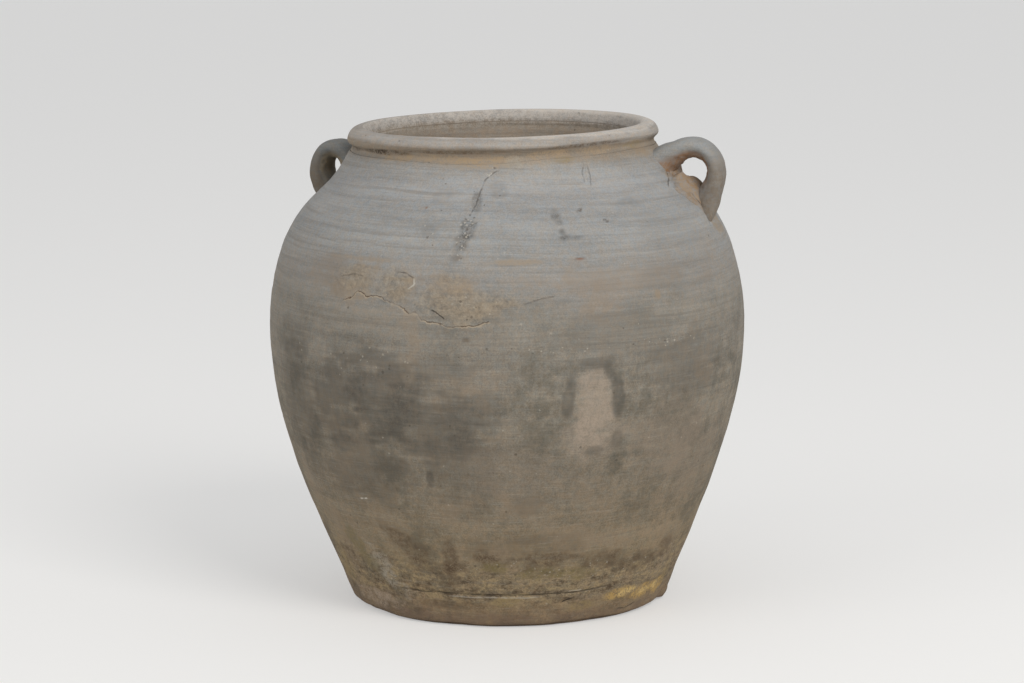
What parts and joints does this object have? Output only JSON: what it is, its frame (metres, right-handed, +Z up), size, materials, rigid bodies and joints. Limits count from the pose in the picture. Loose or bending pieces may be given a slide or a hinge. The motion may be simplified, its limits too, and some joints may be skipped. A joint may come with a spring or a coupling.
{
  "type": "two-handled clay jar",
  "caption": "Round unglazed grey clay jar with a flat foot, wide belly, short neck, rolled lip and small loop handles on the shoulder, for storing or cooling water and grain.",
  "frame": {"origin": "middle of the flat underside, on the jar's axis", "axes": "+Z up along the jar's axis, handles to +X and -X and both about 6 degrees behind the X axis, so the front of the jar looks to -Y"},
  "size_m": [0.3591, 0.359, 0.36],
  "materials": {
    "foot_clay": "matte unglazed",
    "lower_clay": "matte unglazed",
    "upper_clay": "matte unglazed",
    "neck_clay": "matte unglazed",
    "lip_clay": "matte unglazed",
    "handle_clay": "matte unglazed",
    "wad_clay": "matte unglazed"
  },
  "bodies": {
    "root": {"base_pan": "foot_clay", "lower_wall": "lower_clay", "upper_wall": "upper_clay", "neck_collar": "neck_clay", "rim_roll": "lip_clay", "right_handle": "handle_clay", "left_handle": "handle_clay", "right_upper_wad": "wad_clay", "right_lower_wad": "wad_clay", "left_upper_wad": "wad_clay", "left_lower_wad": "wad_clay"}
  },
  "joints": []
}
